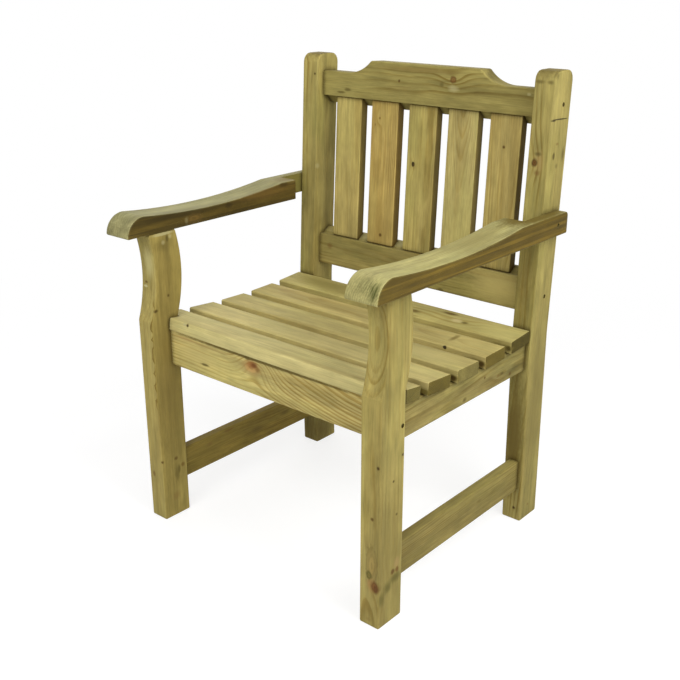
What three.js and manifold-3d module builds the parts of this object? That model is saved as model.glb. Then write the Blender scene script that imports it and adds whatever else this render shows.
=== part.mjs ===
// Garden armchair in planed softwood, in millimetres, +Z up.
// The origin is on the floor at the middle of the bounding box; the front faces -Y.
// Pieces are made with Y running back from the front face of the front legs,
// and the last step moves them all so that the origin is at the middle.
import * as THREE from "three";
import Module from "manifold-3d";
import { mergeVertices } from "three/addons/utils/BufferGeometryUtils.js";

// Stock sizes
const legThickness = 45;
const legDepth = 70;
const railThickness = 30;
const sideBoardThickness = 22;
const backRailThickness = 42;
const seatSlatThickness = 27;
const seatSlatWidth = 72;
const backSlatThickness = 22;
const backSlatWidth = 75;
const armWidth = 70;
const easedEdge = 2.5;
const softCorner = 3.5;
const sawnEase = 1.5;

// Clearances
const cutGap = 0.3;
const restGap = 0.3;
const notchGap = 3;
const seatToPostGap = 0.5;

// Overall frame
const legOuterWidth = 650;
const footSpacing = 508;
const armUnderside = 655;
const postTopHeight = 975;
const halfWidth = legOuterWidth / 2;
const halfInner = halfWidth - legThickness;

// Front leg, bowed back between the seat and the arm
const bowStartRise = 17.8;
const bowSag = 14.5;
const bowTopSetback = 6;

// Rear post, splayed below the seat and raked above it
const bendDrop = 10.2;
const bendAdvance = 9;
const postRakeShare = 0.046;
const bendRadius = 300;
const postTopRadius = 20;

// Seat dish and rails, with drops and rises measured from the low middle of the seat
const seatLowHeight = 450.2;
const seatLowSetback = 318;
const seatDishRadius = 1880;
const seatSlatCount = 5;
const seatSlatEndInset = 1;
const seatFrontSetback = 44.5;
const frontRailSetback = 47;
const frontRailDrop = 88.2;
const railDrop = 85.7;
const rearRailHeight = 74;
const rearRailSetback = 6;

// Lower stretchers
const stretcherUnderside = 76;
const stretcherHeight = 72;

// Back, measured up the rake from the bend, down it from the post's top and back from its front
const backRailSetback = 20;
const backSlatSetback = 28;
const lowerRailBottom = 46.5;
const lowerRailHeight = 72.5;
const lowerTongueHeight = 12.5;
const crestLipDrop = 90.5;
const crestEndHeight = 54;
const crestRise = 29;
const crestEndLand = 72;
const crestHollowRadius = 88.5;
const crestCornerRadius = 8;
const crestTongueHeight = 17.5;
const tongueSetback = 4;
const backSlatCount = 5;
const backSlatEndGap = 35.3;

// Arm, its rear part measured from the front of the rear post
const armOverhang = 24;
const armNoseReach = 46;
const armNoseHeight = 41.5;
const armDip = 12.75;
const armRearHeight = 45;
const armRearRadius = 9;
const armFlatLead = 115;
const armNotchLead = 70;
const armTailReach = 63;

// Screws
const screwHeadRadius = 4;
const screwHeadHeight = 2.4;
const screwShankRadius = 2.2;
const screwTipLength = 6;
const screwSink = 2.5;
const screwLength = 70;
const frontScrewRise = 39;
const armScrewLength = 54;
const screwCrossLength = 4.4;
const screwCrossWidth = 1;
const screwCrossDepth = 1.2;
const armScrewSetback = 25;

// Smoothness
const cornerSteps = 4;
const curveSteps = 12;
const roundSteps = 20;
const easeSteps = 2;
const mergeShare = 1e-7;

// Colours of the green-treated wood and the zinc screws
const woodColours = {
  leg: 0x9a8c55,
  post: 0x9c8f58,
  arm: 0x8e7d49,
  rail: 0xa19258,
  stretcher: 0x93864f,
  seatSlat: 0xb3a66c,
  backSlat: 0xac9a5e,
  backRail: 0x94864e,
};
const woodRoughness = 0.75;
const screwColour = 0x6f6a4c;
const screwRoughness = 0.45;
const screwMetalness = 0.8;

const wasm = await Module();
wasm.setup();

// Places in the side view
const bowStartHeight = seatLowHeight + bowStartRise;
const bendHeight = seatLowHeight - bendDrop;
const frontRailUnderside = seatLowHeight - frontRailDrop;
const railUnderside = seatLowHeight - railDrop;
const bendFront = footSpacing - bendAdvance;
const rakeAngle = Math.atan(postRakeShare);
const crestLip = (postTopHeight - bendHeight) / Math.cos(rakeAngle) - crestLipDrop;
const postTopFront = bendFront + postRakeShare * (postTopHeight - bendHeight);
const overLength = legDepth;

// Front face of the rear post at a height below the bend.
function postFrontBelowBend(height) {
  return footSpacing - bendAdvance * (height / bendHeight);
}

// Front face of the rear post at a height above the bend.
function postFrontAboveBend(height) {
  return bendFront + postRakeShare * (height - bendHeight);
}

// Point list of an arc between two angles, both ends included.
function arcPoints(centreA, centreB, radius, from, to, steps) {
  const points = [];
  for (let i = 0; i <= steps; i++) {
    const angle = from + ((to - from) * i) / steps;
    points.push([centreA + radius * Math.cos(angle), centreB + radius * Math.sin(angle)]);
  }
  return points;
}

// Point list of the arc between two points that bulges by sag to the left of the walk.
function sagArc(start, end, sag, steps) {
  const from = new THREE.Vector2(...start);
  const along = new THREE.Vector2(...end).sub(from);
  const half = along.length() / 2;
  const middle = along.clone().divideScalar(2).add(from);
  along.normalize();
  const side = new THREE.Vector2(-along.y, along.x).multiplyScalar(Math.sign(sag));
  const depth = Math.abs(sag);
  const radius = (half * half + depth * depth) / (2 * depth);
  const centre = side.clone().multiplyScalar(depth - radius).add(middle);
  const spread = Math.asin(half / radius);
  const points = [];
  for (let i = 0; i <= steps; i++) {
    const angle = spread * ((2 * i) / steps - 1);
    const outwards = side.clone().multiplyScalar(radius * Math.cos(angle));
    const sideways = along.clone().multiplyScalar(radius * Math.sin(angle));
    points.push(outwards.add(sideways).add(centre).toArray());
  }
  return points;
}

// Point list of one corner rounded to a radius, tangent to both of its sides.
function roundedCorner(before, at, after, radius) {
  const inA = new THREE.Vector2(before[0] - at[0], before[1] - at[1]).normalize();
  const outA = new THREE.Vector2(after[0] - at[0], after[1] - at[1]).normalize();
  const half = Math.acos(inA.dot(outA)) / 2;
  const bisector = inA.clone().add(outA).normalize();
  const centre = bisector.multiplyScalar(radius / Math.sin(half)).add(new THREE.Vector2(...at));
  const tangent = radius / Math.tan(half);
  const from = Math.atan2(at[1] + inA.y * tangent - centre.y, at[0] + inA.x * tangent - centre.x);
  const turn = Math.PI - 2 * half;
  const way = Math.sign(outA.cross(inA));
  return arcPoints(centre.x, centre.y, radius, from, from + way * turn, cornerSteps);
}

// Closed shape from corners, each a point and its rounding radius.
function outline(corners) {
  const points = [];
  corners.forEach(([at, radius], i) => {
    const before = corners[(i + corners.length - 1) % corners.length][0];
    const after = corners[(i + 1) % corners.length][0];
    points.push(...(radius > 0 ? roundedCorner(before, at, after, radius) : [at]));
  });
  return new THREE.Shape(points.map(([a, b]) => new THREE.Vector2(a, b)));
}

// Points as corners that stay sharp.
function sharp(points) {
  return points.map((point) => [point, 0]);
}

// Slab of a shape with both faces' edges eased.
function slab(shape, thickness, ease) {
  const geometry = new THREE.ExtrudeGeometry(shape, {
    depth: thickness - 2 * ease,
    bevelEnabled: ease > 0,
    bevelThickness: ease,
    bevelSize: ease,
    bevelOffset: -ease,
    bevelSegments: easeSteps,
    steps: 1,
  });
  return geometry.translate(0, 0, ease);
}

// Slab of a side-view shape (back, up), standing from one x to another.
function acrossChair(shape, xFrom, xTo, ease) {
  const turn = new THREE.Matrix4().makeBasis(
    new THREE.Vector3(0, 1, 0),
    new THREE.Vector3(0, 0, 1),
    new THREE.Vector3(1, 0, 0),
  );
  return slab(shape, xTo - xFrom, ease).applyMatrix4(turn).translate(xFrom, 0, 0);
}

// Slab of a front-view shape (sideways, up), from one depth back to another.
function facingFront(shape, depthFrom, depthTo, ease) {
  const turn = new THREE.Matrix4().makeBasis(
    new THREE.Vector3(1, 0, 0),
    new THREE.Vector3(0, 0, 1),
    new THREE.Vector3(0, -1, 0),
  );
  return slab(shape, depthTo - depthFrom, ease).applyMatrix4(turn).translate(0, depthTo, 0);
}

// Plain block between two opposite corners.
function block(low, high) {
  const size = high.map((value, i) => value - low[i]);
  const middle = high.map((value, i) => (value + low[i]) / 2);
  return new THREE.BoxGeometry(...size).translate(...middle);
}

// Turns a geometry of the back into place: up the rake from the bend.
function raked(geometry) {
  return geometry.rotateX(-rakeAngle).translate(0, bendFront, bendHeight);
}

// Solid for the boolean engine.
function solidOf(geometry) {
  const bare = geometry.clone();
  bare.deleteAttribute("normal");
  bare.deleteAttribute("uv");
  const merged = mergeVertices(bare, mergeShare * legOuterWidth);
  return new wasm.Manifold(
    new wasm.Mesh({
      numProp: 3,
      vertProperties: new Float32Array(merged.attributes.position.array),
      triVerts: new Uint32Array(merged.index.array),
    }),
  );
}

// Geometry of a solid from the boolean engine.
function geometryOf(solid) {
  const mesh = solid.getMesh();
  const geometry = new THREE.BufferGeometry();
  geometry.setAttribute("position", new THREE.BufferAttribute(mesh.vertProperties, 3));
  geometry.setIndex(new THREE.BufferAttribute(mesh.triVerts, 1));
  return geometry;
}

// A geometry with others cut away from it.
function cut(geometry, ...cutters) {
  const left = cutters.reduce((solid, cutter) => solid.subtract(solidOf(cutter)), solidOf(geometry));
  return geometryOf(left);
}

const chair = new THREE.Group();

// Adds one piece to the chair as its own mesh.
function addPiece(name, geometry, colour, roughness = woodRoughness, metalness = 0) {
  const faceted = geometry.index ? geometry.toNonIndexed() : geometry;
  faceted.computeVertexNormals();
  const material = new THREE.MeshStandardMaterial({ color: colour, roughness, metalness });
  const mesh = new THREE.Mesh(faceted, material);
  mesh.name = name;
  chair.add(mesh);
}

// Each side of the chair, seen by someone facing it.
const sides = [
  { word: "left", sign: -1 },
  { word: "right", sign: 1 },
];

// The two x values of a stretch on one side, lower first.
function onSide(sign, inner, outer) {
  return sign > 0 ? [inner, outer] : [-outer, -inner];
}

// Seat dish: where each slat lies
const seatPostFront = postFrontAboveBend(seatLowHeight);
const seatRearTiltShare = (seatPostFront - seatLowSetback) / seatDishRadius;
const seatRearEdge = seatPostFront - seatToPostGap - seatSlatThickness * seatRearTiltShare;
const seatSlatPitch = (seatRearEdge - seatSlatWidth - seatFrontSetback) / (seatSlatCount - 1);
const seatSlats = [];
for (let i = 0; i < seatSlatCount; i++) {
  const centre = seatFrontSetback + seatSlatWidth / 2 + i * seatSlatPitch;
  const tilt = Math.asin((centre - seatLowSetback) / seatDishRadius);
  const height = seatLowHeight + seatDishRadius * (1 - Math.cos(tilt));
  seatSlats.push({ centre, height, tilt });
}

// Point in the side view from a slat's own axes: along it from its middle, down from its top.
function onSlat(slat, along, down) {
  return [
    slat.centre + along * Math.cos(slat.tilt) + down * Math.sin(slat.tilt),
    slat.height + along * Math.sin(slat.tilt) - down * Math.cos(slat.tilt),
  ];
}

// Height of the bed under a slat at one depth.
function bedHeight(slat, depth) {
  const [baseDepth, baseHeight] = onSlat(slat, 0, seatSlatThickness + restGap);
  return baseHeight + (depth - baseDepth) * Math.tan(slat.tilt);
}

// Moves a geometry made about a slat's top middle line into place.
function laidOn(slat, geometry) {
  return geometry.rotateX(slat.tilt).translate(0, slat.centre, slat.height);
}

// Screws
const screws = [];

// Profile of a screw, or with a gap of the hole it sits in, as radius and height points.
function screwProfile(length, gap) {
  const head = screwHeadRadius + gap;
  const shank = screwShankRadius + gap;
  const top = gap > 0 ? screwSink + screwHeadHeight : 0;
  const points = [
    [0, -length - gap],
    [shank, -length + screwTipLength - gap],
    [shank, -screwHeadHeight - gap],
    [head, -gap],
    [head, top],
    [0, top],
  ];
  const kept = gap > 0 ? points : points.filter((_, i) => i !== 4);
  return kept.map(([radius, height]) => new THREE.Vector2(radius, height));
}

// Turned body of a screw or its hole, head outward along the given direction.
function turned(profile, head, outward) {
  const turn = new THREE.Quaternion().setFromUnitVectors(new THREE.Vector3(0, 1, 0), outward);
  return new THREE.LatheGeometry(profile, roundSteps).applyQuaternion(turn).translate(...head);
}

// Notes a screw whose head is sunk under a surface point, and gives back its hole.
function screwHole(name, surface, outward, length) {
  const out = new THREE.Vector3(...outward).normalize();
  const head = out.clone().multiplyScalar(-screwSink).add(new THREE.Vector3(...surface)).toArray();
  screws.push({ name, head, out, length });
  return turned(screwProfile(length, cutGap), head, out);
}

// Cross slot in a screw's head, before it is turned into place.
function crossSlot() {
  const long = screwCrossLength / 2;
  const slim = screwCrossWidth / 2;
  const above = screwCrossDepth;
  return [
    block([-long, -screwCrossDepth, -slim], [long, above, slim]),
    block([-slim, -screwCrossDepth, -long], [slim, above, long]),
  ];
}

// Point in the side view from the back's own axes: back from the post's front, up the rake.
function onBack(depth, up) {
  return [
    bendFront + depth * Math.cos(rakeAngle) + up * Math.sin(rakeAngle),
    bendHeight - depth * Math.sin(rakeAngle) + up * Math.cos(rakeAngle),
  ];
}

// Screw holes on each side, shared by the pieces that they pass through
const backScrewDepth = backRailSetback + backRailThickness / 2;
const frontRailScrewHeight = frontRailUnderside + frontScrewRise;
const armScrewHeight = armUnderside + armRearHeight / 2;
const armPostFront = postFrontAboveBend(armScrewHeight);
const holes = {};
for (const { word, sign } of sides) {
  const outward = [sign, 0, 0];
  const onFace = (x, [depth, height]) => [sign * x, depth, height];
  const crestPoint = onBack(backScrewDepth, crestLip + crestEndHeight / 2);
  const lowerPoint = onBack(backScrewDepth, lowerRailBottom + lowerRailHeight / 2);
  const frontPoint = [frontRailSetback + railThickness / 2, frontRailScrewHeight];
  const armPoint = [armPostFront + armScrewSetback, armScrewHeight];
  holes[word] = {
    crest: screwHole(`crest_screw_${word}`, onFace(halfWidth, crestPoint), outward, screwLength),
    lower: screwHole(`back_rail_screw_${word}`, onFace(halfWidth, lowerPoint), outward, screwLength),
    front: screwHole(`front_rail_screw_${word}`, onFace(halfWidth, frontPoint), outward, screwLength),
    arm: screwHole(`arm_screw_${word}`, onFace(halfWidth + armOverhang, armPoint), outward, armScrewLength),
  };
}

// Side view of a front leg: straight below the seat, an arc above it.
function frontLegShape() {
  const bowEnd = [bowTopSetback, armUnderside];
  const front = sagArc(bowEnd, [0, bowStartHeight], bowSag, curveSteps);
  const back = front.map(([depth, height]) => [depth + legDepth, height]).reverse();
  return outline([
    [[0, 0], softCorner],
    [[legDepth, 0], softCorner],
    ...sharp(back.slice(0, -1)),
    [back.at(-1), softCorner],
    [front[0], softCorner],
    ...sharp(front.slice(1)),
  ]);
}

// Side view of a rear post: splayed below the bend, raked above it, its top rounded.
function rearPostShape() {
  return outline([
    [[footSpacing, 0], softCorner],
    [[footSpacing + legDepth, 0], softCorner],
    [[bendFront + legDepth, bendHeight], bendRadius],
    [[postTopFront + legDepth, postTopHeight], postTopRadius],
    [[postTopFront, postTopHeight], postTopRadius],
    [[bendFront, bendHeight], bendRadius],
  ]);
}

// Side view of an arm: flat underneath, a round nose, a gentle dip and a flat rear.
function armShape() {
  const rearTop = armUnderside + armRearHeight;
  const noseDepth = armNoseHeight - armNoseReach;
  const noseTop = [noseDepth, armUnderside + armNoseHeight];
  const rearEnd = armPostFront + armTailReach;
  const dip = sagArc([armPostFront - armFlatLead, rearTop], noseTop, armDip, curveSteps);
  const nose = arcPoints(noseDepth, armUnderside, armNoseHeight, Math.PI / 2, Math.PI, curveSteps);
  return outline([
    [[-armNoseReach, armUnderside], softCorner],
    [[rearEnd, armUnderside], softCorner],
    [[rearEnd, rearTop], armRearRadius],
    ...sharp(dip),
    ...sharp(nose.slice(1, -1)),
  ]);
}

// Side view of a side rail, longer than it ends up, its top cut to carry the slats.
function sideRailShape() {
  const frontEnd = legDepth - overLength;
  const rearEnd = bendFront + overLength;
  const bed = [];
  seatSlats.forEach((slat, i) => {
    const under = seatSlatThickness + restGap;
    const half = seatSlatWidth / 2;
    const first = i === 0;
    const last = i === seatSlatCount - 1;
    bed.push(first ? [frontEnd, bedHeight(slat, frontEnd)] : onSlat(slat, -half, under));
    bed.push(last ? [rearEnd, bedHeight(slat, rearEnd)] : onSlat(slat, half, under));
  });
  return outline(sharp([[frontEnd, railUnderside], [rearEnd, railUnderside], ...bed.reverse()]));
}

// Side view of the front seat rail, its top cut to the slope of the front slat.
function frontRailShape() {
  const back = frontRailSetback + railThickness;
  return outline([
    [[frontRailSetback, frontRailUnderside], softCorner],
    [[back, frontRailUnderside], softCorner],
    [[back, bedHeight(seatSlats[0], back)], 0],
    [[frontRailSetback, bedHeight(seatSlats[0], frontRailSetback)], 0],
  ]);
}

// Side view of a plain board standing on edge.
function boardShape(front, bottom, thickness, height) {
  return outline([
    [[front, bottom], softCorner],
    [[front + thickness, bottom], softCorner],
    [[front + thickness, bottom + height], softCorner],
    [[front, bottom + height], softCorner],
  ]);
}

// Everything behind a plane a little in front of the rear post's lower stretch.
function behindPostFront() {
  const low = -overLength;
  const high = postTopHeight;
  const front = (height) => postFrontBelowBend(height) - cutGap;
  const shape = outline(
    sharp([
      [front(low), low],
      [front(low) + postTopHeight, low],
      [front(low) + postTopHeight, high],
      [front(high), high],
    ]),
  );
  return acrossChair(shape, -legOuterWidth, legOuterWidth, 0);
}

// Everything in front of the front legs' back faces.
function aheadOfLegBack() {
  const reach = legOuterWidth;
  return block([-reach, -reach, -reach], [reach, legDepth, postTopHeight]);
}

// Everything beyond the inner faces of the posts on one side.
function beyondInner(sign) {
  const [from, to] = onSide(sign, halfInner, legOuterWidth);
  return block([from, -legOuterWidth, -legOuterWidth], [to, legOuterWidth, postTopHeight]);
}

// A board in the middle of the legs' thickness, its ends cut to the front leg and the rear post.
function betweenLegs(shape, sign) {
  const inner = halfWidth - (legThickness + sideBoardThickness) / 2;
  const [from, to] = onSide(sign, inner, inner + sideBoardThickness);
  return cut(acrossChair(shape, from, to, easedEdge), aheadOfLegBack(), behindPostFront());
}

// Front view of the crest rail, longer than it ends up, with its raised middle.
function crestShape() {
  const reach = halfInner + overLength;
  const bottom = crestLip - crestTongueHeight;
  const endTop = crestLip + crestEndHeight;
  const turn = Math.acos((crestHollowRadius - crestRise) / crestHollowRadius);
  const from = -Math.PI / 2;
  const centreUp = endTop + crestHollowRadius;
  const foot = halfInner - crestEndLand;
  const hollow = arcPoints(foot, centreUp, crestHollowRadius, from, from - turn, curveSteps);
  const mirrored = hollow.map(([across, up]) => [-across, up]).reverse();
  return outline([
    [[-reach, bottom], 0],
    [[reach, bottom], 0],
    [[reach, endTop], 0],
    ...sharp(hollow.slice(0, -1)),
    [hollow.at(-1), crestCornerRadius],
    [mirrored[0], crestCornerRadius],
    ...sharp(mirrored.slice(1)),
    [[-reach, endTop], 0],
  ]);
}

// Sideways middle of one back slat, counted from the left.
function backSlatAcross(index) {
  const outermost = halfInner - backSlatEndGap - backSlatWidth / 2;
  return outermost * ((2 * index) / (backSlatCount - 1) - 1);
}

// Housings cut into a rail for the ends of the back slats, between two heights.
function slatHousings(low, high) {
  const back = backSlatSetback + backSlatThickness + restGap;
  const half = backSlatWidth / 2 + restGap;
  const housings = [];
  for (let i = 0; i < backSlatCount; i++) {
    const across = backSlatAcross(i);
    housings.push(block([across - half, -overLength, low], [across + half, back, high]));
  }
  return housings;
}

// Crest rail, its lower edge sloping back between the housings of the slats.
function crestRail() {
  const reach = halfInner + overLength;
  const back = backRailSetback + backRailThickness;
  const board = facingFront(crestShape(), backRailSetback, back, easedEdge);
  const slope = outline(
    sharp([
      [-overLength, crestLip],
      [-overLength, crestLip - crestTongueHeight - overLength],
      [backSlatSetback + backSlatThickness, crestLip - crestTongueHeight - overLength],
      [backSlatSetback + backSlatThickness, crestLip - crestTongueHeight],
      [backSlatSetback + tongueSetback, crestLip],
    ]),
  );
  const underLip = acrossChair(slope, -reach, reach, 0);
  const housings = slatHousings(crestLip - crestTongueHeight - overLength, crestLip);
  return raked(cut(board, beyondInner(-1), beyondInner(1), underLip, ...housings));
}

// Lower back rail, its upper edge sloping back between the housings of the slats.
function lowerBackRail() {
  const back = backRailSetback + backRailThickness;
  const lip = lowerRailBottom + lowerRailHeight;
  const shape = outline([
    [[backRailSetback, lowerRailBottom], softCorner],
    [[back, lowerRailBottom], softCorner],
    [[back, lip + lowerTongueHeight], easedEdge],
    [[backSlatSetback + backSlatThickness, lip + lowerTongueHeight], 0],
    [[backSlatSetback + tongueSetback, lip], 0],
    [[backRailSetback, lip], easedEdge],
  ]);
  const board = acrossChair(shape, -halfInner, halfInner, 0);
  return raked(cut(board, ...slatHousings(lip, lip + lowerTongueHeight + overLength)));
}

// One slat of the back, standing in its two housings.
function backSlat(across) {
  const half = backSlatWidth / 2;
  const bottom = lowerRailBottom + lowerRailHeight + restGap;
  const top = crestLip - restGap;
  const shape = outline([
    [[across - half, bottom], softCorner],
    [[across + half, bottom], softCorner],
    [[across + half, top], softCorner],
    [[across - half, top], softCorner],
  ]);
  return raked(facingFront(shape, backSlatSetback, backSlatSetback + backSlatThickness, easedEdge));
}

// One slat of the seat, laid on the dish.
function seatSlat(slat) {
  const end = halfWidth - seatSlatEndInset;
  const shape = boardShape(-seatSlatWidth / 2, -seatSlatThickness, seatSlatWidth, seatSlatThickness);
  return laidOn(slat, acrossChair(shape, -end, end, sawnEase));
}

// Room that the front slat leaves around a front leg.
function legNotch(sign) {
  const [from, to] = onSide(sign, halfInner - notchGap, legOuterWidth);
  return block([from, -legDepth, 0], [to, legDepth + notchGap, armUnderside]);
}

// Arm with its inner rear part cut away, so that only a tongue passes the post.
function arm(sign) {
  const outer = halfWidth + armOverhang;
  const [from, to] = onSide(sign, outer - armWidth, outer);
  const [notchFrom, notchTo] = onSide(sign, 0, halfWidth);
  const notchEnd = armPostFront + legOuterWidth;
  const notch = block([notchFrom, armPostFront - armNotchLead, 0], [notchTo, notchEnd, postTopHeight]);
  return cut(acrossChair(armShape(), from, to, easedEdge), notch);
}

// Screw with a cross slot in its head, turned into place.
function screw({ head, out, length }) {
  const up = new THREE.Vector3(0, 1, 0);
  const body = new THREE.LatheGeometry(screwProfile(length, 0), roundSteps);
  const slotted = cut(body, ...crossSlot());
  const turn = new THREE.Quaternion().setFromUnitVectors(up, out);
  return slotted.applyQuaternion(turn).translate(...head);
}

// Pieces made once
const { left, right } = holes;
const frontRail = acrossChair(frontRailShape(), -halfInner, halfInner, 0);
addPiece("front_seat_rail", cut(frontRail, left.front, right.front), woodColours.rail);
const rearRailFront = bendFront + rearRailSetback;
const rearRail = boardShape(rearRailFront, railUnderside, railThickness, rearRailHeight);
addPiece("rear_seat_rail", acrossChair(rearRail, -halfInner, halfInner, 0), woodColours.rail);
addPiece("crest_rail", cut(crestRail(), left.crest, right.crest), woodColours.backRail);
addPiece("lower_back_rail", cut(lowerBackRail(), left.lower, right.lower), woodColours.backRail);

// Side view of a lower stretcher, longer than it ends up.
const stretcherLength = footSpacing + overLength;
const stretcherShape = boardShape(0, stretcherUnderside, stretcherLength, stretcherHeight);

// Pieces made for each side
for (const { word, sign } of sides) {
  const [from, to] = onSide(sign, halfInner, halfWidth);
  const { crest, lower, front, arm: armHole } = holes[word];
  const leg = acrossChair(frontLegShape(), from, to, easedEdge);
  const post = acrossChair(rearPostShape(), from, to, easedEdge);
  addPiece(`front_leg_${word}`, cut(leg, front), woodColours.leg);
  addPiece(`rear_post_${word}`, cut(post, crest, lower, armHole), woodColours.post);
  addPiece(`arm_${word}`, cut(arm(sign), armHole), woodColours.arm);
  addPiece(`side_seat_rail_${word}`, betweenLegs(sideRailShape(), sign), woodColours.rail);
  addPiece(`side_stretcher_${word}`, betweenLegs(stretcherShape, sign), woodColours.stretcher);
}

// Slats of the seat, front to rear
seatSlats.forEach((slat, i) => {
  const whole = seatSlat(slat);
  const notched = i > 0 ? whole : cut(whole, legNotch(-1), legNotch(1));
  addPiece(`seat_slat_${i + 1}`, notched, woodColours.seatSlat);
});

// Slats of the back, from the left
for (let i = 0; i < backSlatCount; i++) {
  addPiece(`back_slat_${i + 1}`, backSlat(backSlatAcross(i)), woodColours.backSlat);
}

// Screws
for (const each of screws) {
  addPiece(each.name, screw(each), screwColour, screwRoughness, screwMetalness);
}

// Origin under the middle of the chair
const middle = new THREE.Box3().setFromObject(chair).getCenter(new THREE.Vector3());
for (const piece of chair.children) {
  piece.position.y = -middle.y;
}

export default chair;
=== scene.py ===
"""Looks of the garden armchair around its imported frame: treated softwood, zinc screws, a plain studio."""

import math

import bpy
from mathutils import Matrix, Vector


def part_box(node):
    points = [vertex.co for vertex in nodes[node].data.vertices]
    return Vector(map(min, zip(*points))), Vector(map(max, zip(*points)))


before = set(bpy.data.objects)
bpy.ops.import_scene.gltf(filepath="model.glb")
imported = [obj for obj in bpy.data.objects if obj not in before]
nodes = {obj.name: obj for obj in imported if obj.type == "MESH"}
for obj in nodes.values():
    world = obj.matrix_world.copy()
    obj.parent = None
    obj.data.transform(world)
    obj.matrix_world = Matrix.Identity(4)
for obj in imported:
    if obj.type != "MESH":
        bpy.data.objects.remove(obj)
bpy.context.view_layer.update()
scene = bpy.context.scene

MM_PER_M = 1000

# Shift in depth from the front face of the front legs to the part's origin, in metres
FRONT_TO_ORIGIN = 0.273446

# The back's lean as depth over height, and directions in the part's frame, two of them leaning with it
BACK_SLOPE = 0.046
RAKE = math.atan(BACK_SLOPE)
UP = (0, 0, 1)
ACROSS = (1, 0, 0)
BACK = (0, 1, 0)
FRONT = (0, -1, 0)
UP_RAKE = (0, math.sin(RAKE), math.cos(RAKE))
FRONT_RAKE = (0, -math.cos(RAKE), math.sin(RAKE))


def srgb(red, green, blue):
    """A colour as seen on a screen, 0 to 255, as Blender's linear numbers by the sRGB curve."""
    def linear(value):
        share = value / 255
        return share / 12.92 if share <= 0.04045 else ((share + 0.055) / 1.055) ** 2.4
    return (linear(red), linear(green), linear(blue), 1.0)


def shaded(colour, red, green, blue):
    """A linear colour with its parts scaled by shares."""
    return (colour[0] * red, colour[1] * green, colour[2] * blue, 1.0)


class Net:
    """A net of shader nodes, with short calls that add nodes to its tree and link them."""

    def __init__(self, tree):
        self.tree = tree

    def feed(self, socket, value):
        """Links an input to another node's socket, or sets it to a value."""
        if isinstance(value, bpy.types.NodeSocket):
            self.tree.links.new(value, socket)
        else:
            socket.default_value = value

    def add(self, kind, **settings):
        node = self.tree.nodes.new(kind)
        for name, value in settings.items():
            setattr(node, name, value)
        return node

    def math(self, operation, *values, clamp=False):
        node = self.add("ShaderNodeMath", operation=operation, use_clamp=clamp)
        for i, value in enumerate(values):
            self.feed(node.inputs[i], value)
        return node.outputs[0]

    def vector(self, operation, *values):
        node = self.add("ShaderNodeVectorMath", operation=operation)
        for i, value in enumerate(values):
            self.feed(node.inputs[i], value)
        return node.outputs["Value" if operation == "LENGTH" else "Vector"]

    def combine(self, x, y, z):
        node = self.add("ShaderNodeCombineXYZ")
        for i, value in enumerate((x, y, z)):
            self.feed(node.inputs[i], value)
        return node.outputs[0]

    def separate(self, vector):
        node = self.add("ShaderNodeSeparateXYZ")
        self.feed(node.inputs[0], vector)
        return node.outputs

    def coordinates(self, kind):
        return self.add("ShaderNodeTexCoord").outputs[kind]

    def noise(self, at, scales, seed, detail=2.0, roughness=0.5):
        """Noise from 0 to 1, with a scale in cycles per metre for each direction."""
        node = self.add("ShaderNodeTexNoise", noise_dimensions="4D")
        self.feed(node.inputs["Vector"], self.vector("MULTIPLY", at, scales))
        self.feed(node.inputs["W"], seed)
        node.inputs["Scale"].default_value = 1.0
        node.inputs["Detail"].default_value = detail
        node.inputs["Roughness"].default_value = roughness
        return node.outputs["Fac"]

    def spread(self, value, low, high, to_low=0.0, to_high=1.0, smooth=True):
        """Takes low to to_low and high to to_high, and holds the ends."""
        node = self.add("ShaderNodeMapRange")
        node.interpolation_type = "SMOOTHSTEP" if smooth else "LINEAR"
        for name, each in (("Value", value), ("From Min", low), ("From Max", high),
                           ("To Min", to_low), ("To Max", to_high)):
            self.feed(node.inputs[name], each)
        return node.outputs["Result"]

    def ramp(self, value, stops):
        """A curve through stops, each a place from 0 to 1 and a grey level."""
        node = self.add("ShaderNodeValToRGB")
        self.feed(node.inputs[0], value)
        points = node.color_ramp.elements
        while len(points) < len(stops):
            points.new(0.5)
        for point, (place, grey) in zip(points, stops):
            point.position = place
            point.color = (grey, grey, grey, 1.0)
        return node.outputs["Color"]

    def mix(self, factor, first, second, kind="MIX"):
        node = self.add("ShaderNodeMix", data_type="RGBA", blend_type=kind)
        self.feed(node.inputs["Factor"], factor)
        self.feed(node.inputs[6], first)
        self.feed(node.inputs[7], second)
        return node.outputs[2]

    def bump(self, height, strength, distance):
        node = self.add("ShaderNodeBump")
        self.feed(node.inputs["Height"], height)
        node.inputs["Strength"].default_value = strength
        node.inputs["Distance"].default_value = distance
        return node.outputs[0]

    def group(self, tree, **inputs):
        node = self.add("ShaderNodeGroup", node_tree=tree)
        for name, value in inputs.items():
            self.feed(node.inputs[name.replace("_", " ")], value)
        return node.outputs


def new_group(name, inputs, outputs):
    """An empty node group, with the net to fill it, what it is given and what it puts out."""
    tree = bpy.data.node_groups.new(name, "ShaderNodeTree")
    for direction, sockets in (("INPUT", inputs), ("OUTPUT", outputs)):
        for label, kind in sockets:
            tree.interface.new_socket(label, in_out=direction, socket_type="NodeSocket" + kind)
    net = Net(tree)
    source = net.add("NodeGroupInput")
    sink = net.add("NodeGroupOutput")
    return tree, net, source.outputs, sink.inputs


def new_material(name):
    """A material, with its net and its Principled shader."""
    material = bpy.data.materials.new(name)
    material.use_nodes = True
    tree = material.node_tree
    return material, Net(tree), tree.nodes["Principled BSDF"]


def emptied(block):
    """The net of a material or world, cleared of the nodes that it came with."""
    block.use_nodes = True
    block.node_tree.nodes.clear()
    return Net(block.node_tree)


def dress(name, material):
    """Gives a node its one material."""
    mesh = nodes[name].data
    mesh.materials.clear()
    mesh.materials.append(material)


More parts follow.
